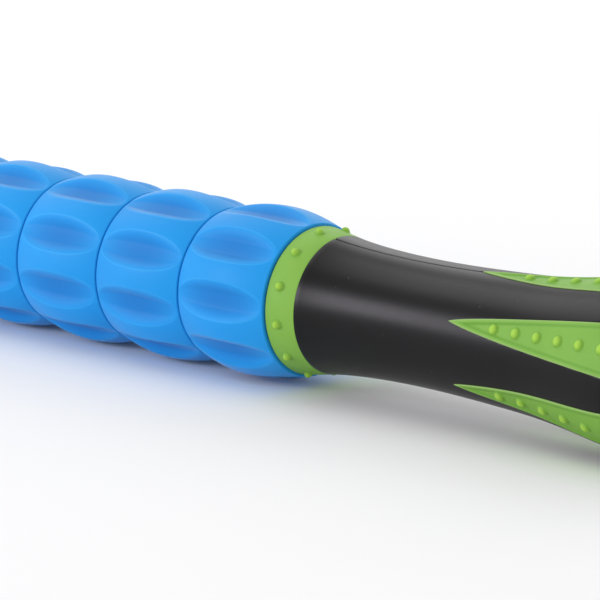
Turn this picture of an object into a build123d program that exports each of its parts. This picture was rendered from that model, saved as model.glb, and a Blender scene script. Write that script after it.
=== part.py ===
from build123d import *

import math
import os

# Muscle massage roller stick, in millimetres.
#
# A steel tube runs through nine free-spinning roller beads and is held in a moulded handle at each end.
# X runs along the stick, Z is up, and the origin is on the tube's axis at the middle of the stick.
# Angles round the stick are counted from the front (-Y) towards the top (+Z).
# A handle is drawn once, with its inboard face at x = 0 and its free end towards +X, and used at both ends.

# Roller beads
BEAD_COUNT = 9
BEAD_RADIUS = 19.0
BEAD_END_RADIUS = 16.75
BEAD_WIDTH = 25.4
BEAD_PITCH = 25.8
BEAD_CORNER = 0.4
BEAD_BORE = 14.0

# Scoops round each bead: straight channels along X that run out at the bead's narrower ends
SCOOP_COUNT = 9
SCOOP_FLOOR = 16.85
SCOOP_CUTTER = 6.6
SCOOP_PHASE = 26.4
LAST_BEAD_PHASE = 2.7

# Tube, hubs and the washers between them
TUBE_RADIUS = 6.0
TUBE_WALL = 1.2
RUNNING_CLEARANCE = 0.06
SLIP = 0.02
HUB_WIDTH = 24.4
HUB_SLEEVE = 8.0
HUB_RIM_WALL = 1.6
HUB_WEB = 2.4
HUB_RIBS = 6
HUB_RIB = 1.4
HUB_RIB_END = 2.0
RIB_ROOT = 0.5
WASHER_RADIUS = 9.0
WASHER_THICKNESS = 1.0
WASHER_SEAT_RADIUS = 9.1
WASHER_SEAT_DEPTH = 0.3

# Handle outline, as distance from the inboard face and radius
HANDLE_GAP = 0.4
COLLAR_END = 7.2
NECK_RADIUS = 15.05
WAIST = [(20.0, 13.85), (36.0, 13.5), (55.0, 14.07), (70.0, 15.12), (84.0, 17.1)]
BULB_X, BULB_RADIUS = 95.0, 18.05
HANDLE_END = 110.0
END_FACE_RADIUS = 11.0
CAP_SEAM = 104.0

# Collar ring
COLLAR_SEAT = 14.2
COLLAR_INNER_EDGE = 16.25
COLLAR_OUTER_EDGE = 15.1
COLLAR_ROUNDING = 0.5
COLLAR_DOTS = 12
COLLAR_DOT = 1.0
COLLAR_DOT_X = 2.95
COLLAR_DOT_SINK = 0.3
COLLAR_DOT_PHASE = 21.5

# Grip inserts: pointed towards the beads, round at the free end
INSERT_COUNT = 6
INSERT_PHASE = 22.0
INSERT_TIP = 48.8
INSERT_SHOULDER = 96.5
INSERT_HALF_WIDTH = 5.82
INSERT_TAPER = 0.7
INSERT_DEPTH = 1.4
INSERT_LIP = 0.9
INSERT_LIP_PROUD = 0.25
INSERT_FIELD_SUNK = 0.15
INSERT_DOTS = 7
INSERT_DOT_START = 61.4
INSERT_DOT_PITCH = 6.1
INSERT_DOT = 1.35
INSERT_DOT_SINK = 0.8

# Inside of the handle
SOCKET_END = 78.0
BULKHEAD_END = 81.0
BOSS_END = 85.0
BOSS_BORE = 5.2
SLEEVE_RADIUS = 8.5
CAVITY = [(12.0, 10.4), (50.0, 10.4), (70.0, 12.0), (90.0, 14.0)]
CAVITY_RIBS = 6
CAVITY_RIB = 1.6
CAP_SPIGOT_START = 97.0
CAP_SPIGOT_WALL = 2.2
CAP_INSIDE_END = 106.8

# Screw, washer and plug at each end of the tube
SCREW_CLEARANCE_HOLE = 2.2
SCREW_RADIUS = 2.0
SCREW_LENGTH = 16.0
SCREW_HEAD_RADIUS = 4.0
SCREW_HEAD = 2.6
SCREW_KEY = 2.9
SCREW_KEY_DEPTH = 1.5
END_WASHER_RADIUS = 4.8
END_WASHER = 0.8
PLUG_START = 61.0
PLUG_FLANGE = 1.0
PLUG_FLANGE_RADIUS = 5.9

HANDLE_X = (BEAD_COUNT - 1) / 2 * BEAD_PITCH + BEAD_WIDTH / 2 + HANDLE_GAP
TUBE_END = SOCKET_END - PLUG_FLANGE
TUBE_BORE = TUBE_RADIUS - TUBE_WALL


def around(angle):
    """Turn a shape drawn at the front to an angle round the stick."""
    return Rot(-angle, 0, 0)


def even_angles(count, phase=0.0):
    return [phase + i * 360 / count for i in range(count)]


def spin(outline):
    """Sweep a closed outline, drawn as x and radius, round the X axis."""
    return revolve(make_face(outline), Axis.X, 360)


def ring(start, end, outer, inner=0.0):
    return spin(Polyline((start, inner), (end, inner), (end, outer), (start, outer), close=True))


def dome(x, radius, ball, sink):
    """A ball at the front whose centre lies a little below a surface of the given radius."""
    return Pos(x, sink - radius, 0) * Sphere(ball)


def rib(start, end, inner, outer, thickness):
    """A flat radial rib at the front."""
    return Pos((start + end) / 2, -(inner + outer) / 2, 0) * Box(end - start, outer - inner, thickness)


def handle_solid(offset=0.0):
    """Everything inside the handle's outside, from the collar to the end face, moved in or out by an offset."""
    rise, run = BULB_RADIUS - END_FACE_RADIUS, HANDLE_END - BULB_X
    shoulder = (BULB_X + run * math.sin(math.pi / 4), END_FACE_RADIUS + rise * math.cos(math.pi / 4))
    points = [(COLLAR_END, NECK_RADIUS), *WAIST, (BULB_X, BULB_RADIUS), shoulder, (HANDLE_END, END_FACE_RADIUS)]
    side = Spline(*[(x, r + offset) for x, r in points], tangents=((1, -0.15), (0, -1)))
    return spin(side + Polyline(side @ 1, (HANDLE_END, 0), (COLLAR_END, 0), side @ 0))


def handle_radius(x, solid):
    """The handle's outside radius at a distance along it."""
    section = solid & Pos(x, 0, 0) * Box(0.01, 60, 60)
    return section.bounding_box().max.Z


def leaf(inset=0.0):
    """A column with the outline of a grip insert, standing out from the axis at the front."""
    length = INSERT_SHOULDER - INSERT_TIP
    tip = (inset / INSERT_HALF_WIDTH) ** (1 / INSERT_TAPER)
    steps = [tip + (1 - tip) * i / 7 for i in range(8)]
    side = [(INSERT_TIP + length * s, INSERT_HALF_WIDTH * s**INSERT_TAPER - inset) for s in steps]
    shoulder, half = side[-1]
    outline = Spline(*side) + ThreePointArc(side[-1], (shoulder + half, 0), (shoulder, -half))
    outline += Spline(*[(x, -w) for x, w in reversed(side)])
    return extrude(Plane.XZ * make_face(outline), amount=BEAD_RADIUS + 1)


def bead_shell():
    """A barrel with a row of scoops round it, the first at the front, and a plain bore for its hub."""
    half = BEAD_WIDTH / 2
    crown = ThreePointArc((-half, BEAD_END_RADIUS), (0, BEAD_RADIUS), (half, BEAD_END_RADIUS))
    rest = Polyline((half, BEAD_END_RADIUS), (half, BEAD_BORE), (-half, BEAD_BORE), (-half, BEAD_END_RADIUS))
    face = make_face(crown + rest)
    corners = [v for v in face.vertices() if v.Y > BEAD_BORE + 1]
    barrel = revolve(fillet(corners, BEAD_CORNER), Axis.X, 360)
    cutter = Pos(0, -SCOOP_FLOOR - SCOOP_CUTTER, 0) * Rot(0, 90, 0) * Cylinder(SCOOP_CUTTER, BEAD_WIDTH + 2)
    return barrel - [around(angle) * cutter for angle in even_angles(SCOOP_COUNT)]


def bead_hub():
    """Sleeve on the tube, web, ribs and a rim that the shell is pressed over."""
    half = HUB_WIDTH / 2
    rim = BEAD_BORE - SLIP
    rim_inside = rim - HUB_RIM_WALL
    hub = ring(-half, half, HUB_SLEEVE, TUBE_RADIUS + RUNNING_CLEARANCE)
    hub += ring(-half, half, rim, rim_inside)
    hub += ring(-HUB_WEB / 2, HUB_WEB / 2, rim_inside + RIB_ROOT, HUB_SLEEVE - RIB_ROOT)
    spoke = rib(HUB_RIB_END - half, half - HUB_RIB_END, HUB_SLEEVE - RIB_ROOT, rim_inside + RIB_ROOT, HUB_RIB)
    return hub + [around(angle) * spoke for angle in even_angles(HUB_RIBS)]


def handle_core(solid):
    """Hollow handle with the tube's socket, a bulkhead for the screw, and pockets for the inserts."""
    body = ring(COLLAR_END, CAP_SEAM, BEAD_RADIUS + 1)
    core = ring(0, COLLAR_END, COLLAR_SEAT) + (solid & body)
    core -= [around(angle) * leaf() for angle in even_angles(INSERT_COUNT, INSERT_PHASE)]
    core += handle_solid(-INSERT_DEPTH) & body
    inside = [(CAVITY[0][0], SLEEVE_RADIUS), *CAVITY, (HANDLE_END, CAVITY[-1][1])]
    cavity = spin(Polyline(*inside, (HANDLE_END, 0), (BOSS_END, 0), (BOSS_END, SLEEVE_RADIUS), close=True))
    spoke = rib(CAVITY[0][0], BOSS_END, SLEEVE_RADIUS - RIB_ROOT, CAVITY[-1][1] + RIB_ROOT, CAVITY_RIB)
    core -= cavity - [around(angle) * spoke for angle in even_angles(CAVITY_RIBS, INSERT_PHASE)]
    core -= ring(-1, WASHER_SEAT_DEPTH, WASHER_SEAT_RADIUS)
    core -= ring(-1, SOCKET_END, TUBE_RADIUS + SLIP)
    core -= ring(SOCKET_END, BULKHEAD_END, SCREW_CLEARANCE_HOLE)
    return core - ring(BULKHEAD_END, BOSS_END, BOSS_BORE)


def collar():
    """Tapered ring with a row of domed dots."""
    seat = COLLAR_SEAT + SLIP
    outline = Polyline(
        (0, seat), (COLLAR_END, seat), (COLLAR_END, COLLAR_OUTER_EDGE), (0, COLLAR_INNER_EDGE), close=True
    )
    face = make_face(outline)
    corners = [v for v in face.vertices() if v.Y > seat + 0.5]
    body = revolve(fillet(corners, COLLAR_ROUNDING), Axis.X, 360)
    slope = (COLLAR_INNER_EDGE - COLLAR_OUTER_EDGE) / COLLAR_END
    dot = dome(COLLAR_DOT_X, COLLAR_INNER_EDGE - slope * COLLAR_DOT_X, COLLAR_DOT, COLLAR_DOT_SINK)
    return body + [around(angle) * dot for angle in even_angles(COLLAR_DOTS, COLLAR_DOT_PHASE)]


def grip_insert(solid):
    """Pointed soft grip with a raised lip, a sunken field and a row of domed dots."""
    body = leaf(SLIP) & (handle_solid(INSERT_LIP_PROUD) - handle_solid(SLIP - INSERT_DEPTH))
    body -= leaf(INSERT_LIP) - handle_solid(-INSERT_FIELD_SUNK)
    for i in range(INSERT_DOTS):
        x = INSERT_DOT_START + i * INSERT_DOT_PITCH
        field = handle_radius(x, solid) - INSERT_FIELD_SUNK
        dot = dome(x, field, INSERT_DOT, INSERT_DOT_SINK)
        body += dot - ring(x - 2, x + 2, field - 1.0)
    return body


def end_cap(solid):
    """Cap with a flat end face and a spigot that goes into the handle."""
    spigot = CAVITY[-1][1] - SLIP
    inside = spigot - CAP_SPIGOT_WALL
    cap = solid - ring(0, CAP_SEAM, BEAD_RADIUS + 1)
    return cap + ring(CAP_SPIGOT_START, CAP_SEAM + 0.5, spigot) - ring(CAP_SPIGOT_START, CAP_INSIDE_END, inside)


def rod_end_plug():
    """Plug in the tube's end with a flange that stops against the bulkhead."""
    plug = ring(PLUG_START, TUBE_END, TUBE_BORE - SLIP) + ring(TUBE_END, SOCKET_END, PLUG_FLANGE_RADIUS)
    return plug - ring(PLUG_START, SOCKET_END, SCREW_RADIUS + SLIP)


def end_washer():
    return ring(BULKHEAD_END, BULKHEAD_END + END_WASHER, END_WASHER_RADIUS, SCREW_CLEARANCE_HOLE)


def end_screw():
    """Cap screw whose head faces the free end."""
    seat = BULKHEAD_END + END_WASHER
    top = seat + SCREW_HEAD
    screw = ring(seat - SCREW_LENGTH, seat, SCREW_RADIUS) + ring(seat, top, SCREW_HEAD_RADIUS)
    screw = chamfer(screw.edges().filter_by(GeomType.CIRCLE).group_by(Axis.X)[-1], 0.4)
    key = extrude(Plane.YZ * RegularPolygon(SCREW_KEY / math.sqrt(3), 6), amount=SCREW_KEY_DEPTH)
    return screw - Pos(top - SCREW_KEY_DEPTH, 0, 0) * key


def make_stick():
    """Every sub-part by name, in its place."""
    parts = {"core_rod": ring(-HANDLE_X - TUBE_END, HANDLE_X + TUBE_END, TUBE_RADIUS, TUBE_BORE)}
    washer = Pos(-WASHER_THICKNESS / 2, 0, 0) * ring(0, WASHER_THICKNESS, WASHER_RADIUS, TUBE_RADIUS + SLIP)
    hub, shell = bead_hub(), bead_shell()
    for i in range(BEAD_COUNT):
        phase = LAST_BEAD_PHASE if i == BEAD_COUNT - 1 else SCOOP_PHASE
        place = Pos((i - (BEAD_COUNT - 1) / 2) * BEAD_PITCH, 0, 0) * around(phase)
        parts[f"bead_shell_{i + 1}"] = place * shell
        parts[f"bead_hub_{i + 1}"] = place * hub
    for i in range(BEAD_COUNT + 1):
        parts[f"spacer_washer_{i + 1}"] = Pos((i - BEAD_COUNT / 2) * BEAD_PITCH, 0, 0) * washer

    solid = handle_solid()
    insert = grip_insert(solid)
    handle = {
        "handle_core": handle_core(solid),
        "collar": collar(),
        "end_cap": end_cap(solid),
        "rod_end_plug": rod_end_plug(),
        "end_washer": end_washer(),
        "end_screw": end_screw(),
    }
    for side, turn in (("right", 0), ("left", 180)):
        place = Rot(0, 0, turn) * Pos(HANDLE_X, 0, 0)
        for name, shape in handle.items():
            parts[f"{name}_{side}"] = place * shape
        for i, angle in enumerate(even_angles(INSERT_COUNT, INSERT_PHASE)):
            parts[f"grip_insert_{side}_{i + 1}"] = place * around(angle) * insert
    return parts


os.makedirs("parts", exist_ok=True)
for node, shape in make_stick().items():
    export_step(shape, f"parts/{node}.step")
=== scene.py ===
"""Looks of the muscle massage roller stick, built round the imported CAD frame, in metres.

Surfaces are drawn in the stick's own terms: x along the tube, an angle counted from the front (-Y)
towards the top (+Z), and a radius from the tube's axis.
"""

import math

import bmesh
import bpy
import numpy as np
from mathutils import Matrix, Vector


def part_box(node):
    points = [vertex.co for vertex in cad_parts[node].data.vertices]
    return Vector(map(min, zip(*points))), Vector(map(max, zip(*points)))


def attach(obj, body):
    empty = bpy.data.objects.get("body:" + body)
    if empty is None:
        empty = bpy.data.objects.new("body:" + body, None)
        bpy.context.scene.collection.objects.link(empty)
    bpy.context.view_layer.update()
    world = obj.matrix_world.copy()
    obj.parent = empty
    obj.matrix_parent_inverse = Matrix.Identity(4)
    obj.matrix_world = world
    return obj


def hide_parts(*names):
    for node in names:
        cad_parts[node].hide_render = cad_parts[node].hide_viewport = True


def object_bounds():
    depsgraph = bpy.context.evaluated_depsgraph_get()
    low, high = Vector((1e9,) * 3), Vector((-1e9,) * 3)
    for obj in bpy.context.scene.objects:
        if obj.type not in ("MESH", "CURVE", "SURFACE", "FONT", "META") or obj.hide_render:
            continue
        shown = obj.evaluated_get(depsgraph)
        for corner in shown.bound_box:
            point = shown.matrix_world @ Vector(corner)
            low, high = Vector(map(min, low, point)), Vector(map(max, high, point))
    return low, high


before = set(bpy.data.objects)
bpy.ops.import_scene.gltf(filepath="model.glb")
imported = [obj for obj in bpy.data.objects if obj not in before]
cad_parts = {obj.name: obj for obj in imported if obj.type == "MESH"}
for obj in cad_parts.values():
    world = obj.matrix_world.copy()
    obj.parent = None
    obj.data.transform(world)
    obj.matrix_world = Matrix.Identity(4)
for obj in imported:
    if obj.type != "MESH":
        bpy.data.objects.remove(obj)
cad_low, cad_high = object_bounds()

MM = 0.001

# Scoops of the beads; half widths and phases are in degrees round the bead
SCOOPS = 9
SCOOP_FLOOR = 16.85 * MM
SCOOP_HALF = 13.4
SCOOP_LEAST = 1.2
SCOOP_FULLNESS = 1.25
SCOOP_PHASE = 26.4
LAST_BEAD_PHASE = 2.7
# A scoop's section: its flat floor as a share of its width, then the bulge of its sides and how soft
# the crease beside the floor and the rim are
FLOOR_SHARE = 0.48
SIDE_BULGE = 0.25
CREASE = 0.2
RIM_SOFTNESS = 0.22 * MM
# Painted light in the scoops: the width of the painted highlight along a rim, the depth a scoop needs
# for that highlight to be full, and the depth at which the painted shade in a scoop is full
RIM_HIGHLIGHT_WIDTH = 0.3 * MM
RIM_HIGHLIGHT_DEPTH = 0.4 * MM
FULL_SHADE_DEPTH = 2.15 * MM

# The bead's barrel and ends
BEAD_END_RADIUS = 16.75 * MM
BEAD_BORE = 14.0 * MM
BEAD_CORNER = 0.4 * MM
BORE_CHAMFER = 0.6 * MM
BORE_CHAMFER_DEPTH = 0.3 * MM
# The bead's mesh: rows along it and round its corners, and columns from a scoop's middle as shares of
# the way to its rim, and on from there to the middle of the land
BEAD_ROWS = 57
CORNER_ROWS = 6
SCOOP_COLUMNS = np.array([0, 0.14, 0.27, 0.36, 0.42, 0.48, 0.54, 0.6, 0.68, 0.78, 0.88, 0.95, 0.985])
LAND_COLUMNS = np.array([0.0, 0.03, 0.08, 0.18, 0.4, 0.7, 1.0])

# Collar; its edge radii are inboard and outboard
COLLAR_EDGES = (16.25 * MM, 15.1 * MM)
COLLAR_SEAT = 14.22 * MM
COLLAR_CORNER = 0.2 * MM
COLLAR_DOTS = 12
COLLAR_DOT_X = 2.95 * MM
COLLAR_DOT_PHASE = 21.5
COLLAR_DOT = 0.95 * MM
COLLAR_DOT_PROUD = 0.98 * MM

# Handle, from its inboard face: x and radius in mm through neck, waist and bulb
HANDLE_OUTLINE = [(7.2, 15.05), (20.0, 13.85), (36.0, 13.5), (55.0, 14.07), (70.0, 15.12)]
HANDLE_OUTLINE += [(84.0, 17.1), (95.0, 18.05)]
NECK_SLOPE = -0.15
BULB_SLOPE = 0.0
END_FACE_RADIUS = 11.0 * MM
CAP_SEAM = 104.0 * MM
# The handle's inside in mm, as x and radius, from the cap's joint round to the collar's seat
CAVITY = [(104.0, 14.0), (90.0, 14.0), (70.0, 12.0), (50.0, 10.4), (12.0, 10.4)]
SLEEVE_AND_BULKHEAD = [(12.0, 8.5), (85.0, 8.5), (85.0, 5.2), (81.0, 5.2), (81.0, 2.2), (78.0, 2.2)]
TUBE_SOCKET = [(78.0, 6.02), (0.3, 6.02), (0.3, 9.1), (0.0, 9.1)]
COLLAR_REBATE = [(0.0, 14.2), (7.2, 14.2)]
HANDLE_INSIDE = CAVITY + SLEEVE_AND_BULKHEAD + TUBE_SOCKET + COLLAR_REBATE
# The cap's inside in mm, from its middle out to the spigot's outside
CAP_INSIDE = [(106.8, 0.0), (106.8, 11.78), (97.0, 11.78), (97.0, 13.98), (104.02, 13.98)]
# The moulding line, with its place and half width in degrees, and the points across it as shares
PARTING_LINE = 82.0
LINE_WIDTH = 1.3
LINE_DEPTH = 0.22 * MM
LINE_POINTS = np.array([-1.0, -0.6, -0.3, 0.3, 0.6, 1.0])
LINE_SIDE = 0.4
# The surface under a grip sinks out of sight, starting this far inside its edge
POCKET_DEPTH = 0.55 * MM
POCKET_INSET = 0.35 * MM
POCKET_SIDE = 0.3 * MM
# The fine joints beside the collar and beside the cap
COLLAR_STEP = 0.02 * MM
COLLAR_STEP_LENGTH = 0.1 * MM
SEAM_DEPTH = 0.25 * MM
SEAM_LENGTH = 0.15 * MM
# The handle's mesh: degrees between columns, and rows along the neck and the grip
HANDLE_COLUMN = 1.5
NECK_ROWS = 40
GRIP_ROWS = 75

# Cap: its outside starts past the joint, where its edge is lower, and its nose stops at an angle short
# of the flat face, whose edge is lower too
CAP_START = 0.25 * MM
CAP_STEP = 0.3 * MM
CAP_CLEARANCE = 0.02 * MM
NOSE_STOP = math.pi / 2 - 0.12
CAP_FACE_STEP = 0.1 * MM
NOSE_ROWS = 22

# Grip inserts, from the handle's inboard face
INSERTS = 6
INSERT_PHASE = 22.0
INSERT_TIP = 48.8 * MM
INSERT_SHOULDER = 96.5 * MM
INSERT_HALF_WIDTH = 5.95 * MM
INSERT_TAPER = 0.7
INSERT_POINT = 0.012
INSERT_DOTS = 7
INSERT_DOT_START = 61.4 * MM
INSERT_DOT_PITCH = 6.1 * MM
INSERT_DOT = 1.12 * MM
INSERT_DOT_PROUD = 0.82 * MM
# Points of an insert's outline: along a side, closer together near the tip, and round the end
INSERT_SIDE_POINTS = 44
INSERT_SIDE_SPREAD = 1.7
INSERT_END_POINTS = 15
# Rings under an insert and over its field, as shares of its width
UNDER_SHARES = (0.0, 0.5)
FIELD_SHARES = (0.7, 0.35, 0.0)
FIELD_HEIGHT = -0.12 * MM
# The lip's section in mm, from its foot to the field: inset, height, painted highlight, painted shade
LIP = [
    (0.0, -0.5, 0.0, 1.0),
    (0.0, 0.04, 0.6, 0.0),
    (0.04, 0.16, 1.0, 0.0),
    (0.12, 0.22, 1.0, 0.0),
    (0.26, 0.23, 0.5, 0.0),
    (0.45, 0.22, 0.0, 0.1),
    (0.72, 0.19, 0.0, 0.4),
    (0.95, 0.06, 0.0, 0.9),
    (1.15, -0.06, 0.0, 0.7),
    (1.5, -0.12, 0.0, 0.15),
]

# A dot's section: the foot below the surface, then its flare as shares of its radius and height
DOT_FOOT = -0.3 * MM
DOT_EDGE = -0.02 * MM
DOT_FLARE = [(1.15, 0.05), (1.05, 0.15)]
DOT_SPREAD = 1.3
DOT_ROWS = 8
DOT_START = 15
DOT_COLUMNS = 24
# Painted shade at a dot's foot, at its strongest
DOT_FOOT_SHADE = 0.6

RING_COLUMNS = 160
CORNER_POINTS = 6
MERGE_DISTANCE = 1e-6
SHARP_ANGLE = math.radians(50)

CAMERA_PLACE = Vector((0.6648, -0.5832, 0.1761))
CAMERA_AZIMUTH = 43.51
CAMERA_ELEVATION = 12.4
CAMERA_LENS = 228.0
SENSOR_WIDTH = 36.0
CAMERA_RANGE = (0.05, 20)

WORLD_STRENGTH = 0.78
LIGHT_DISTANCE = 1.5
FLOOR_REACH = 6.0


# ---------------------------------------------------------------- meshes


def place(x, degrees, radius):
    """Points from x, angle round the stick and radius, as an array of triples."""
    x, degrees, radius = np.broadcast_arrays(x, degrees, radius)
    turn = np.radians(degrees)
    return np.stack([x, -radius * np.cos(turn), radius * np.sin(turn)], axis=-1)


def grid_faces(rows, columns, wrap_rows=False):
    """Quads of a grid of vertices whose columns close round, and whose rows may too."""
    r, c = np.meshgrid(np.arange(rows if wrap_rows else rows - 1), np.arange(columns), indexing="ij")
    up, right = (r + 1) % rows, (c + 1) % columns
    quads = [r * columns + c, up * columns + c, up * columns + right, r * columns + right]
    return np.stack(quads, axis=-1).reshape(-1, 4)


class Build:
    """Gathers grids of vertices and makes one mesh of them."""

    def __init__(self):
        self.points, self.faces, self.count = [], [], 0
        self.marks = {"rim": [], "hollow": [], "crown": []}

    def add(self, points, faces, **marks):
        """One grid, marked 0 to 1 for painted highlights on rims and dot tops and for painted shade in
        hollows.
        """
        self.points.append(points.reshape(-1, 3))
        self.faces.append(faces + self.count)
        for name, values in self.marks.items():
            values.append(np.broadcast_to(marks.get(name, 0.0), points.shape[:-1]).reshape(-1))
        self.count += len(self.points[-1])

    def make(self, name, material, body, slot, *nodes, turn=None):
        """The gathered mesh as a piece on a body, in place of the CAD nodes named."""
        points = np.concatenate(self.points)
        if turn is not None:
            points = points @ np.array(turn.to_3x3()).T + np.array(turn.translation)
        mesh = bpy.data.meshes.new(name)
        mesh.from_pydata(points.tolist(), [], np.concatenate(self.faces).tolist())
        for mark, values in self.marks.items():
            attribute = mesh.attributes.new(mark, "FLOAT", "POINT")
            attribute.data.foreach_set("value", np.concatenate(values).astype(np.float32))
        tidy(mesh)
        mesh.materials.append(material)
        piece = bpy.data.objects.new(name, mesh)
        bpy.context.scene.collection.objects.link(piece)
        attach(piece, body)
        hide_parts(*nodes)
        return piece


def tidy(mesh):
    """Merge the points that meet at a tip, face every surface outwards and shade all but sharp corners."""
    work = bmesh.new()
    work.from_mesh(mesh)
    bmesh.ops.remove_doubles(work, verts=work.verts, dist=MERGE_DISTANCE)
    bmesh.ops.recalc_face_normals(work, faces=work.faces)
    work.to_mesh(mesh)
    work.free()
    mesh.shade_smooth()
    mesh.set_sharp_from_angle(angle=SHARP_ANGLE)


def soft_min(a, b, width):
    """The smaller of two values, rounded off where they are close."""
    near = np.maximum(width - np.abs(a - b), 0) / width
    return np.minimum(a, b) - near**2 * width / 4


def smooth_curve(points, first_slope, last_slope):
    """A cubic through the points with the two end slopes, as a function."""
    x, y = np.array(points, float).T
    h = np.diff(x)
    steepness = np.diff(y) / h
    n = len(x)
    system, target = np.eye(n), np.zeros(n)
    target[0], target[-1] = first_slope, last_slope
    for i in range(1, n - 1):
        system[i, i - 1 : i + 2] = h[i], 2 * (h[i - 1] + h[i]), h[i - 1]
        target[i] = 3 * (h[i] * steepness[i - 1] + h[i - 1] * steepness[i])
    slopes = np.linalg.solve(system, target)

    def value(at):
        at = np.asarray(at, float)
        i = np.clip(np.searchsorted(x, at) - 1, 0, n - 2)
        t = (at - x[i]) / h[i]
        return (
            (1 + 2 * t) * (1 - t) ** 2 * y[i]
            + t * (1 - t) ** 2 * h[i] * slopes[i]
            + t**2 * (3 - 2 * t) * y[i + 1]
            + t**2 * (t - 1) * h[i] * slopes[i + 1]
        )

    return value


# ---------------------------------------------------------------- handle's own measures

HANDLE_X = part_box("handle_core_right")[0].x
HANDLE_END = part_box("end_cap_right")[1].x - HANDLE_X
COLLAR_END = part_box("collar_right")[1].x - HANDLE_X
BULB_X, BULB_RADIUS = HANDLE_OUTLINE[-1][0] * MM, HANDLE_OUTLINE[-1][1] * MM
handle_side = smooth_curve(np.array(HANDLE_OUTLINE) * MM, NECK_SLOPE, BULB_SLOPE)


def handle_radius(x):
    """Radius of the handle's outside at a distance from its inboard face."""
    x = np.asarray(x, float)
    turn = np.arcsin(np.clip((x - BULB_X) / (HANDLE_END - BULB_X), 0, 1))
    nose = END_FACE_RADIUS + (BULB_RADIUS - END_FACE_RADIUS) * np.cos(turn)
    return np.where(x <= BULB_X, handle_side(np.clip(x, COLLAR_END, BULB_X)), nose)


def collar_radius(x):
    """Radius of the collar's tapered outside."""
    return COLLAR_EDGES[0] + (COLLAR_EDGES[1] - COLLAR_EDGES[0]) * np.asarray(x, float) / COLLAR_END


def leaf_half_width(s):
    """Half width of a grip insert from its tip, s = 0, to its shoulder, s = 1."""
    a, p = INSERT_POINT, INSERT_TAPER
    return INSERT_HALF_WIDTH * ((s + a) ** p - a**p) / ((1 + a) ** p - a**p)


def leaf_loop(inset):
    """The insert's outline, moved inwards, as x and the distance round the handle, from the tip and back."""
    s = np.linspace(0, 1, 400)
    tip = np.interp(inset, leaf_half_width(s), s)
    s = tip + (1 - tip) * np.linspace(0, 1, INSERT_SIDE_POINTS) ** INSERT_SIDE_SPREAD
    x = INSERT_TIP + (INSERT_SHOULDER - INSERT_TIP) * s
    y = leaf_half_width(s) - inset
    y[0] = 0
    turn = np.linspace(0, math.pi, INSERT_END_POINTS)[1:-1]
    x = np.concatenate([x, INSERT_SHOULDER + y[-1] * np.sin(turn), x[:0:-1]])
    y = np.concatenate([y, y[-1] * np.cos(turn), -y[:0:-1]])
    return x, y


def inside_leaf(x, angle):
    """How far a point of the handle lies inside the nearest insert's outline; negative is outside."""
    s = np.clip((x - INSERT_TIP) / (INSERT_SHOULDER - INSERT_TIP), 0, 1)
    off = np.radians((angle - INSERT_PHASE + 180 / INSERTS) % (360 / INSERTS) - 180 / INSERTS)
    across = np.abs(off) * handle_radius(x)
    side = leaf_half_width(s) - across
    rounded = INSERT_HALF_WIDTH - np.hypot(np.maximum(x - INSERT_SHOULDER, 0), across)
    return np.where(x < INSERT_TIP, -1.0, np.where(x > INSERT_SHOULDER, rounded, side))


# ---------------------------------------------------------------- pieces


def scoop_surface(barrel, columns):
    """Angles from a scoop's middle, the bead's radius there, how near the rim is, for a painted highlight,
    and how deep it lies, for painted shade.

    A scoop is a lens shape as long as the bead. It has a flat floor, and sides that bulge a little and
    meet the barrel at a soft rim.
    """
    fallen = np.clip((barrel.max() - barrel) / (barrel.max() - SCOOP_FLOOR), 0, 1)
    half = np.maximum(SCOOP_HALF * np.sqrt(1 - fallen**SCOOP_FULLNESS), SCOOP_LEAST)[:, None]
    barrel = barrel[:, None]
    off = columns(half)
    across = (np.abs(off) / half - FLOOR_SHARE) / (1 - FLOOR_SHARE)
    climb = (across + np.sqrt(across**2 + CREASE**2)) / (1 + math.sqrt(1 + CREASE**2))
    side = (1 + SIDE_BULGE) * climb - SIDE_BULGE * climb**2
    depth = np.maximum(barrel - SCOOP_FLOOR / np.cos(np.radians(off)), 0)
    deepest = np.maximum(barrel - SCOOP_FLOOR, 0)
    beyond = barrel + (1 - SIDE_BULGE) * deepest * (climb - 1)
    scoop = np.where(climb < 1, barrel - depth * (1 - side), beyond)
    surface = np.where(deepest > 0, soft_min(barrel, scoop, RIM_SOFTNESS), barrel)
    # A painted highlight along the soft rim, weaker where the scoop is shallow, then painted shade that
    # grows with depth
    from_rim = np.radians(np.abs(np.abs(off) - half)) * barrel
    near = np.clip(1 - from_rim / RIM_HIGHLIGHT_WIDTH, 0, 1) ** 2 * np.clip(deepest / RIM_HIGHLIGHT_DEPTH, 0, 1)
    return off, surface, near, (barrel - surface) / FULL_SHADE_DEPTH


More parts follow.
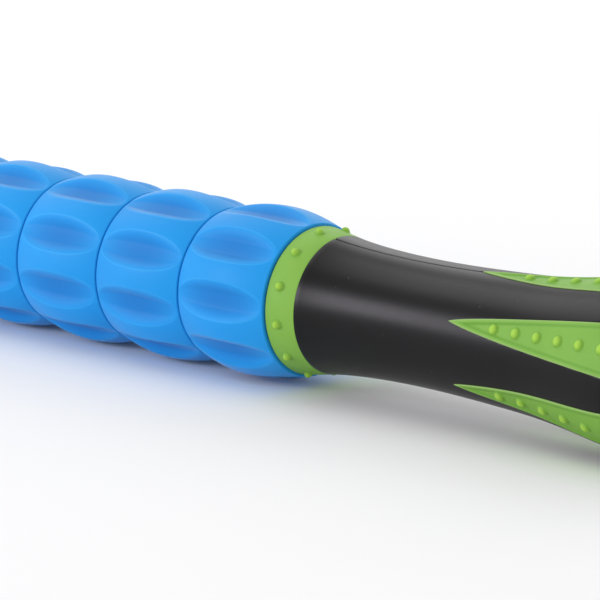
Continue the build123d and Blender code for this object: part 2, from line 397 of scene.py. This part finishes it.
def bead(number, material):
    """One roller bead: a barrel with soft-edged scoops, rounded ends and its bore."""
    node = f"bead_shell_{number}"
    low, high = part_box(node)
    middle, half = (low.x + high.x) / 2, (high.x - low.x) / 2
    radius = cad_high.z
    sagitta = radius - BEAD_END_RADIUS
    arc = (half**2 + sagitta**2) / (2 * sagitta)
    flat = half - BEAD_CORNER
    x = flat * np.sin(np.linspace(-1, 1, BEAD_ROWS) * math.pi / 2)
    barrel = radius - arc + np.sqrt(arc**2 - x**2)
    sector = 180 / SCOOPS

    def columns(rim):
        """Angles from a scoop's middle, close together where its floor ends and at its rim."""
        right = np.concatenate([SCOOP_COLUMNS * rim, rim + LAND_COLUMNS * (sector - rim)], axis=1)
        return np.concatenate([-right[:, -2:0:-1], right], axis=1)

    # The scoops' painted highlight along their rims and painted shade down in them
    off, surface, rim, hollow = scoop_surface(barrel, columns)
    turn = np.linspace(0, math.pi / 2, CORNER_ROWS + 1)[1:]
    corner_x = flat + BEAD_CORNER * np.sin(turn)
    drop = BEAD_CORNER * (1 - np.cos(turn))
    bore = [(half, BEAD_BORE + BORE_CHAMFER), (half - BORE_CHAMFER_DEPTH, BEAD_BORE), (0.0, BEAD_BORE)]
    bore = np.array(bore)
    end = [surface[-1][None] - drop[:, None], np.repeat(bore[:, 1:], off.shape[1], axis=1)]
    surface = np.concatenate([surface, *end, end[1][1::-1], end[0][::-1]])
    x = np.concatenate([x, corner_x, bore[:, 0], -bore[1::-1, 0], -corner_x[::-1]])
    spare = len(x) - len(off)
    # Painted shade fills the bore's rows; the corners and ends carry no painted highlight
    inside = np.pad(np.ones(spare - 2 * CORNER_ROWS), CORNER_ROWS)
    off = np.concatenate([off, np.repeat(off[-1:], spare, axis=0)])
    rim = np.concatenate([rim, np.zeros((spare, rim.shape[1]))])
    hollow = np.concatenate([hollow, np.repeat(inside[:, None], off.shape[1], axis=1)])

    phase = LAST_BEAD_PHASE if number == BEADS else SCOOP_PHASE
    angle = np.concatenate([phase + off + i * 360 / SCOOPS for i in range(SCOOPS)], axis=1)
    points = place(middle + x[:, None], angle, np.tile(surface, SCOOPS))
    build = Build()
    faces = grid_faces(*points.shape[:2], wrap_rows=True)
    build.add(points, faces, rim=np.tile(rim, SCOOPS), hollow=np.tile(hollow, SCOOPS))
    return build.make(f"bead_{number}_shell", material, f"bead_{number}", "bead_blue", node)


def add_dot(build, surface, x, angle, radius, proud):
    """A small dome that flares softly into a surface of revolution."""
    foot = [(0.0, DOT_FOOT), (DOT_SPREAD * radius, DOT_FOOT), (DOT_SPREAD * radius, DOT_EDGE)]
    foot += [(spread * radius, lift * proud) for spread, lift in DOT_FLARE]
    rise = np.radians(np.linspace(DOT_START, 90, DOT_ROWS))
    out = np.concatenate([[p[0] for p in foot], radius * np.cos(rise)])
    height = np.concatenate([[p[1] for p in foot], proud * np.sin(rise)])
    turn = np.linspace(0, 2 * math.pi, DOT_COLUMNS + 1)[:-1]
    px = x + out[:, None] * np.cos(turn)
    pa = angle + np.degrees(out[:, None] * np.sin(turn) / surface(x))
    points = place(px, pa, surface(px) + height[:, None])
    # Painted highlight on the dot's top and painted shade round its foot
    top = np.clip(height / proud, 0, 1)[:, None]
    build.add(points, grid_faces(*points.shape[:2]), crown=top, hollow=DOT_FOOT_SHADE * (1 - top) ** 2)


def side_turn(side):
    """Where the handle that is drawn from x = 0 towards +X goes."""
    return Matrix.Rotation(math.pi if side == "left" else 0.0, 4, "Z") @ Matrix.Translation((HANDLE_X, 0, 0))


def from_parting_line(angle):
    """How many degrees an angle is from the nearer of the two moulding lines."""
    return np.abs((angle - PARTING_LINE + 90) % 180 - 90)


def handle_core(side, material):
    """The black handle: neck, waist and bulb, let in under the inserts, with its moulding line."""
    angle = np.arange(0, 360, HANDLE_COLUMN)
    across_line = LINE_WIDTH * LINE_POINTS
    angle = angle[from_parting_line(angle) > LINE_WIDTH]
    angle = np.sort(np.concatenate([angle, PARTING_LINE + across_line, PARTING_LINE + 180 + across_line]))
    neck = np.linspace(COLLAR_END + COLLAR_STEP_LENGTH, INSERT_TIP, NECK_ROWS)
    grip = np.linspace(INSERT_TIP, CAP_SEAM - SEAM_LENGTH, GRIP_ROWS)
    x = np.concatenate([[COLLAR_END], neck, grip[1:], [CAP_SEAM]])
    r = np.broadcast_to(handle_radius(x)[:, None], (len(x), len(angle))).copy()
    inside = inside_leaf(x[:, None], angle[None])
    r -= POCKET_DEPTH * np.clip((inside - POCKET_INSET) / POCKET_SIDE, 0, 1)
    to_edge = LINE_WIDTH - from_parting_line(angle)
    line = np.clip(to_edge / (LINE_SIDE * LINE_WIDTH), 0, 1) * (inside < 0)
    r -= LINE_DEPTH * line
    r[0] -= COLLAR_STEP
    r[-1] -= SEAM_DEPTH
    inner = np.array(HANDLE_INSIDE) * MM
    x = np.concatenate([x, inner[:, 0]])
    r = np.concatenate([r, np.repeat(inner[:, 1:], len(angle), axis=1)])
    build = Build()
    points = place(x[:, None], angle[None], r)
    line = np.concatenate([line, np.zeros((len(inner), len(angle)))])
    # Painted shade in the parting line's groove
    build.add(points, grid_faces(*points.shape[:2], wrap_rows=True), hollow=line)
    name = f"{side}_handle_body"
    return build.make(name, material, "stick", "handle_black", f"handle_core_{side}", turn=side_turn(side))


def rounded_corner(x, r, size, start, stop):
    """Points of a round corner about a centre, between two directions in degrees."""
    turn = np.radians(np.linspace(start, stop, CORNER_POINTS))
    return [(x + size * math.cos(t), r + size * math.sin(t)) for t in turn]


def revolve(build, outline, ring=True):
    """A closed shape swept from an outline of x and radius: a ring, or solid from axis to axis."""
    x, r = np.array(outline).T
    points = place(x[:, None], np.arange(RING_COLUMNS) * 360 / RING_COLUMNS, r[:, None])
    build.add(points, grid_faces(*points.shape[:2], wrap_rows=ring))


def collar(side, material):
    """Tapered green ring with its row of dots."""
    size = COLLAR_CORNER
    outline = [(0.0, COLLAR_SEAT)]
    outline += rounded_corner(size, collar_radius(0) - size, size, 180, 98)
    outline += rounded_corner(COLLAR_END - size, collar_radius(COLLAR_END) - size, size, 81, 0)
    outline += [(COLLAR_END, COLLAR_SEAT)]
    build = Build()
    revolve(build, outline)
    for i in range(COLLAR_DOTS):
        angle = COLLAR_DOT_PHASE + i * 360 / COLLAR_DOTS
        add_dot(build, collar_radius, COLLAR_DOT_X, angle, COLLAR_DOT, COLLAR_DOT_PROUD)
    name = f"{side}_collar_ring"
    return build.make(name, material, "stick", "grip_green", f"collar_{side}", turn=side_turn(side))


def grip_insert(side, number, material):
    """Soft green grip: a raised lip round a sunken field with a row of dots."""
    centre = INSERT_PHASE + (number - 1) * 360 / INSERTS
    # Each ring carries the lip's painted highlight and painted shade; the hidden rings underneath get full
    # painted shade
    rings = [(*leaf_loop(inset * MM), height * MM, rim, hollow) for inset, height, rim, hollow in LIP]
    x, y, bottom = rings[0][:3]
    under = [(x, y * share, bottom, 0, 1) for share in UNDER_SHARES]
    x, y, field, rim, hollow = rings[-1]
    over = [(x, y * share, field, rim, hollow) for share in FIELD_SHARES]
    rings = under + rings + over
    x, y = np.stack([ring[0] for ring in rings]), np.stack([ring[1] for ring in rings])
    height, rim, hollow = np.array([ring[2:] for ring in rings]).T[..., None]
    radius = handle_radius(x)
    points = place(x, centre + np.degrees(y / radius), radius + height)
    build = Build()
    build.add(points, grid_faces(*points.shape[:2]), rim=rim, hollow=hollow)
    for i in range(INSERT_DOTS):
        at = INSERT_DOT_START + i * INSERT_DOT_PITCH
        add_dot(build, lambda v: handle_radius(v) + FIELD_HEIGHT, at, centre, INSERT_DOT, INSERT_DOT_PROUD)
    name, node = f"{side}_grip_{number}", f"grip_insert_{side}_{number}"
    return build.make(name, material, "stick", "grip_green", node, turn=side_turn(side))


def end_cap(side, material):
    """Rounded black cap with a flat face, set off from the handle by a fine joint."""
    nose = HANDLE_END - BULB_X
    turn = np.linspace(math.asin((CAP_SEAM + CAP_START - BULB_X) / nose), NOSE_STOP, NOSE_ROWS)
    x = BULB_X + nose * np.sin(turn)
    outline = [(x * MM, r * MM) for x, r in CAP_INSIDE]
    outline += [(CAP_SEAM + CAP_CLEARANCE, float(handle_radius(CAP_SEAM)) - CAP_STEP)]
    outline += list(zip(x, handle_radius(x)))
    outline += [(HANDLE_END, END_FACE_RADIUS - CAP_FACE_STEP), (HANDLE_END, 0.0)]
    build = Build()
    revolve(build, outline, ring=False)
    name = f"{side}_end_cap"
    return build.make(name, material, "stick", "handle_black", f"end_cap_{side}", turn=side_turn(side))


# ---------------------------------------------------------------- materials


class Paint:
    """A node material with a Principled shader."""

    def __init__(self, name, **sockets):
        self.material = bpy.data.materials.new(name)
        self.material.use_nodes = True
        self.tree = self.material.node_tree
        self.shader = self.tree.nodes["Principled BSDF"]
        for socket, value in sockets.items():
            self.shader.inputs[socket.replace("_", " ")].default_value = value

    def node(self, kind, **values):
        """A node with its inputs or its own settings filled in."""
        node = self.tree.nodes.new(kind)
        for key, value in values.items():
            if key in node.inputs:
                node.inputs[key].default_value = value
            else:
                setattr(node, key, value)
        return node

    def link(self, source, target):
        self.tree.links.new(source, target)

    def noise(self, scale, detail):
        """Noise in the object's own space, with a scale per metre."""
        space = self.node("ShaderNodeTexCoord")
        noise = self.node("ShaderNodeTexNoise", Scale=scale, Detail=detail)
        self.link(space.outputs["Object"], noise.inputs["Vector"])
        return noise.outputs["Fac"]

    def ramp(self, source, *stops):
        """Colour from a value, between two stops of position and colour."""
        ramp = self.node("ShaderNodeValToRGB")
        for element, (position, colour) in zip(ramp.color_ramp.elements, stops):
            element.position = position
            element.color = (*colour, 1)
        self.link(source, ramp.inputs["Fac"])
        return ramp.outputs["Color"]

    def mix(self, factor, a, b):
        """From colour a towards b by the factor; each is a value or a socket."""
        mix = self.node("ShaderNodeMix", data_type="RGBA")
        for value, socket in ((factor, mix.inputs[0]), (a, mix.inputs[6]), (b, mix.inputs[7])):
            if isinstance(value, bpy.types.NodeSocket):
                self.link(value, socket)
            else:
                socket.default_value = (*value, 1) if isinstance(value, tuple) else value
        return mix.outputs[2]

    def mark(self, name, amount):
        """A mark that the mesh carries, scaled."""
        scaled = self.node("ShaderNodeMath", operation="MULTIPLY")
        self.link(self.node("ShaderNodeAttribute", attribute_name=name).outputs["Fac"], scaled.inputs[0])
        scaled.inputs[1].default_value = amount
        return scaled.outputs[0]

    def bump(self, *layers):
        """Bumps one over another, each a height source, a strength and a depth in metres."""
        normal = None
        for source, strength, depth in layers:
            bump = self.node("ShaderNodeBump", Strength=strength, Distance=depth)
            self.link(source, bump.inputs["Height"])
            if normal is not None:
                self.link(normal, bump.inputs["Normal"])
            normal = bump.outputs["Normal"]
        self.link(normal, self.shader.inputs["Normal"])

    def colour(self, source):
        self.link(source, self.shader.inputs["Base Color"])

    def roughness(self, source, low, high):
        """Roughness that follows a value from 0 to 1, between low and high."""
        spread = self.node("ShaderNodeMapRange")
        spread.inputs["To Min"].default_value = low
        spread.inputs["To Max"].default_value = high
        self.link(source, spread.inputs["Value"])
        self.link(spread.outputs["Result"], self.shader.inputs["Roughness"])


def blue_plastic():
    """Satin blue moulding: painted shade in scoops and bore, painted highlights on rims, faint clouding and
    a fine skin.
    """
    paint = Paint("bead_blue_plastic", Specular_IOR_Level=0.14, Sheen_Weight=0.22, Sheen_Roughness=0.35)
    paint.shader.inputs["Sheen Tint"].default_value = (0.75, 0.9, 1.0, 1.0)
    cloud = paint.ramp(paint.noise(55, 4), (0.3, (0.011, 0.285, 0.72)), (0.7, (0.015, 0.312, 0.765)))
    # Painted shade: deeper blue down in the scoops and in the bore
    with_painted_shade = paint.mix(paint.mark("hollow", 0.9), cloud, (0.009, 0.18, 0.54))
    # Painted highlight: paler blue along the scoops' rims
    paint.colour(paint.mix(paint.mark("rim", 0.3), with_painted_shade, (0.08, 0.50, 0.95)))
    paint.roughness(paint.noise(900, 2), 0.42, 0.54)
    paint.bump((paint.noise(9000, 2), 0.10, 0.00004), (paint.noise(180, 3), 0.16, 0.00014))
    return paint.material


def green_rubber():
    """Soft-touch green: matte, with painted shade beside the lip and round the dots, a pale grey painted
    highlight on the lip's edge and bright painted highlights on the dots' tops.
    """
    paint = Paint("grip_green_rubber", Specular_IOR_Level=0.25)
    cloud = paint.ramp(paint.noise(70, 4), (0.3, (0.18, 0.395, 0.050)), (0.7, (0.212, 0.438, 0.062)))
    # Painted shade: deeper green beside the lip and round the dots' feet
    with_painted_shade = paint.mix(paint.mark("hollow", 0.8), cloud, (0.115, 0.31, 0.03))
    # Painted highlight: a pale grey-green line along the lip's edge
    with_painted_edge = paint.mix(paint.mark("rim", 0.55), with_painted_shade, (0.34, 0.49, 0.19))
    # Painted highlight: brighter, yellower green on the dots' tops
    paint.colour(paint.mix(paint.mark("crown", 0.85), with_painted_edge, (0.36, 0.62, 0.06)))
    paint.roughness(paint.noise(700, 2), 0.48, 0.60)
    paint.bump((paint.noise(7000, 2), 0.15, 0.00005), (paint.noise(300, 3), 0.08, 0.0001))
    return paint.material


def black_plastic():
    """Black satin moulding with a fine grain, painted shade in the parting line's groove and a few specks of
    dust.
    """
    paint = Paint("handle_black_plastic", Specular_IOR_Level=0.19)
    cloud = paint.ramp(paint.noise(40, 4), (0.3, (0.0028, 0.0026, 0.0028)), (0.7, (0.0042, 0.0040, 0.0043)))
    dust = paint.ramp(paint.noise(1300, 0), (0.86, (0, 0, 0)), (0.89, (1, 1, 1)))
    dusted = paint.mix(dust, cloud, (0.03, 0.03, 0.03))
    # Painted shade: near-black in the parting line's groove
    paint.colour(paint.mix(paint.mark("hollow", 1.0), dusted, (0.001, 0.001, 0.001)))
    paint.roughness(paint.noise(1200, 2), 0.28, 0.35)
    paint.bump((paint.noise(6500, 3), 0.22, 0.00005), (paint.noise(60, 2), 0.04, 0.0003))
    return paint.material


def steel():
    """Drawn and plated steel with a fine, even grain."""
    paint = Paint("drawn_steel", Metallic=1.0, Specular_IOR_Level=0.5)
    paint.colour(paint.ramp(paint.noise(300, 3), (0.3, (0.46, 0.46, 0.48)), (0.7, (0.6, 0.6, 0.62))))
    paint.roughness(paint.noise(900, 2), 0.25, 0.4)
    paint.bump((paint.noise(4000, 2), 0.15, 0.00004))
    return paint.material


def nylon():
    """Natural nylon: off-white, waxy and a little uneven."""
    paint = Paint("natural_nylon", Specular_IOR_Level=0.4)
    paint.colour(paint.ramp(paint.noise(120, 3), (0.3, (0.70, 0.70, 0.65)), (0.7, (0.78, 0.78, 0.73))))
    paint.roughness(paint.noise(600, 2), 0.42, 0.55)
    paint.bump((paint.noise(5000, 2), 0.12, 0.00005))
    return paint.material


# ---------------------------------------------------------------- the stick

BEADS = sum(name.startswith("bead_shell_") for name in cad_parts)
blue, green, black, metal, natural = blue_plastic(), green_rubber(), black_plastic(), steel(), nylon()

for number in range(1, BEADS + 1):
    bead(number, blue)
for side in ("left", "right"):
    handle_core(side, black)
    end_cap(side, black)
    collar(side, green)
    for number in range(1, INSERTS + 1):
        grip_insert(side, number, green)

for name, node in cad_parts.items():
    if not node.hide_render:
        inner = natural if name.startswith(("bead_hub", "spacer_washer")) else metal
        for material_slot in node.material_slots:
            material_slot.material = inner


# ---------------------------------------------------------------- studio


def floor():
    """A wide pale floor that the lowest bead touches."""
    mesh = bpy.data.meshes.new("floor")
    corners = [(-1, -1), (1, -1), (1, 1), (-1, 1)]
    mesh.from_pydata([(x * FLOOR_REACH, y * FLOOR_REACH, cad_low.z) for x, y in corners], [], [(0, 1, 2, 3)])
    paint = Paint("pale_floor", Base_Color=(0.9, 0.9, 0.9, 1), Roughness=0.9, Specular_IOR_Level=0.1)
    mesh.materials.append(paint.material)
    piece = bpy.data.objects.new("floor", mesh)
    bpy.context.scene.collection.objects.link(piece)


def direction(turn, angle):
    """A unit vector from a turn round Z, counted from the front, and an angle above the horizon."""
    t, a = math.radians(turn), math.radians(angle)
    return Vector((math.sin(t) * math.cos(a), -math.cos(t) * math.cos(a), math.sin(a)))


def softbox(name, turn, angle, width, height, power, tint=(1.0, 1.0, 1.0)):
    """A soft light aimed at the origin."""
    back = direction(turn, angle)
    light = bpy.data.lights.new(name, "AREA")
    light.shape, light.size, light.size_y, light.energy = "RECTANGLE", width, height, power
    light.color = tint
    lamp = bpy.data.objects.new(name, light)
    lamp.location = back * LIGHT_DISTANCE
    lamp.rotation_mode = "QUATERNION"
    lamp.rotation_quaternion = (-back).to_track_quat("-Z", "Y")
    bpy.context.scene.collection.objects.link(lamp)


def studio():
    """Even white surroundings and four soft lights."""
    world = bpy.data.worlds.new("studio")
    world.use_nodes = True
    background = world.node_tree.nodes["Background"]
    background.inputs["Color"].default_value = (1, 1, 1, 1)
    background.inputs["Strength"].default_value = WORLD_STRENGTH
    bpy.context.scene.world = world
    softbox("left", turn=-34, angle=17, width=0.48, height=0.54, power=9.0, tint=(1.0, 0.96, 1.06))
    softbox("upper_left", turn=-90, angle=48, width=0.9, height=0.55, power=3.6)
    softbox("right", turn=70, angle=35, width=1.0, height=0.8, power=1.2)
    softbox("behind", turn=-160, angle=30, width=1.8, height=0.9, power=5.6)
    bpy.context.scene.view_settings.view_transform = "Standard"


def camera():
    """A long lens out in front of the right handle, looking in along the beads."""
    data = bpy.data.cameras.new("camera")
    data.lens, data.sensor_width = CAMERA_LENS, SENSOR_WIDTH
    data.clip_start, data.clip_end = CAMERA_RANGE
    seen = bpy.data.objects.new("camera", data)
    seen.location = CAMERA_PLACE
    seen.rotation_mode = "QUATERNION"
    seen.rotation_quaternion = (-direction(CAMERA_AZIMUTH, CAMERA_ELEVATION)).to_track_quat("-Z", "Y")
    bpy.context.scene.collection.objects.link(seen)
    bpy.context.scene.camera = seen


floor()
studio()
camera()
